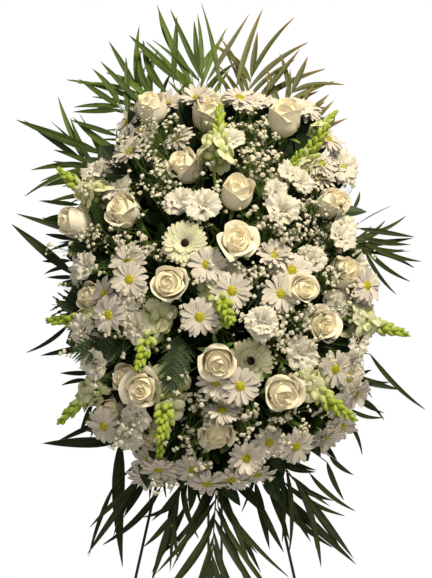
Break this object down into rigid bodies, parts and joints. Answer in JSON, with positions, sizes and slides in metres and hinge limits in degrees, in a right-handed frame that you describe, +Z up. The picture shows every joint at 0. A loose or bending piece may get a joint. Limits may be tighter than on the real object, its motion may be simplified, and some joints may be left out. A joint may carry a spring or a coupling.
{
  "type": "standing funeral spray on a wire easel",
  "caption": "Oval spray of cut white and cream flowers edged with palm fronds, set in wet foam and held upright on a folding wire easel.",
  "frame": {"origin": "on the floor, under the centre of the whole arrangement's bounding box", "axes": "+Z up, +X to the right of someone facing the flowers, -Y towards that person"},
  "size_m": [0.7336, 0.8136, 1.8132],
  "materials": {
    "easel_wire": "satin dark green-black coating on steel wire",
    "foot_rubber": "dull black rubber",
    "holder_plastic": "dark green moulded plastic",
    "wet_foam": "soaked green phenolic foam, dull and fine-pored",
    "tie_plastic": "black plastic band",
    "rose_petal": "ivory petals, warm peach at the heart",
    "gerbera_petal": "greenish white petals round a dark maroon eye",
    "carnation_petal": "white ruffled petals",
    "daisy_petal": "white petals round a yellow-green eye",
    "snapdragon_floret": "lime green buds opening greenish white",
    "palm_leaf": "dark green waxy leaf"
  },
  "bodies": {
    "front_frame": {"front_leg_left": "easel_wire", "front_leg_right": "easel_wire", "spreader_wire": "easel_wire", "hinge_wire": "easel_wire", "holder_shelf": "easel_wire", "foot_tip_left": "foot_rubber", "foot_tip_right": "foot_rubber", "holder_tray": "holder_plastic", "holder_cage": "holder_plastic", "foam_lower": "wet_foam", "foam_upper": "wet_foam", "tie_lower": "tie_plastic", "tie_upper": "tie_plastic", "rose_01": "rose_petal", "rose_02": "rose_petal", "rose_03": "rose_petal", "rose_04": "rose_petal", "rose_05": "rose_petal", "rose_06": "rose_petal", "rose_07": "rose_petal", "rose_08": "rose_petal", "rose_09": "rose_petal", "rose_10": "rose_petal", "rose_11": "rose_petal", "rose_12": "rose_petal", "rose_13": "rose_petal", "rose_14": "rose_petal", "rose_15": "rose_petal", "gerbera_01": "gerbera_petal", "gerbera_02": "gerbera_petal", "carnation_01": "carnation_petal", "carnation_02": "carnation_petal", "carnation_03": "carnation_petal", "daisy_01": "daisy_petal", "daisy_02": "daisy_petal", "snapdragon_01": "snapdragon_floret", "snapdragon_02": "snapdragon_floret", "snapdragon_03": "snapdragon_floret", "snapdragon_04": "snapdragon_floret", "snapdragon_05": "snapdragon_floret", "snapdragon_06": "snapdragon_floret", "snapdragon_07": "snapdragon_floret", "snapdragon_08": "snapdragon_floret", "snapdragon_09": "snapdragon_floret", "palm_frond_01": "palm_leaf", "palm_frond_02": "palm_leaf", "palm_frond_03": "palm_leaf", "palm_frond_04": "palm_leaf", "palm_frond_05": "palm_leaf", "palm_frond_06": "palm_leaf", "palm_frond_07": "palm_leaf", "palm_frond_08": "palm_leaf", "palm_frond_09": "palm_leaf", "palm_frond_10": "palm_leaf", "palm_frond_11": "palm_leaf", "palm_frond_12": "palm_leaf", "palm_frond_13": "palm_leaf", "palm_frond_14": "palm_leaf"},
    "rear_leg": {"rear_leg": "easel_wire", "foot_tip_rear": "foot_rubber"}
  },
  "joints": [
    {"name": "rear_leg_fold", "type": "hinge", "parent": "front_frame", "child": "rear_leg", "pos_m": [0, -0.07634, 1.30759], "axis": [-1, 0, 0], "range_deg": [0, 30]}
  ]
}
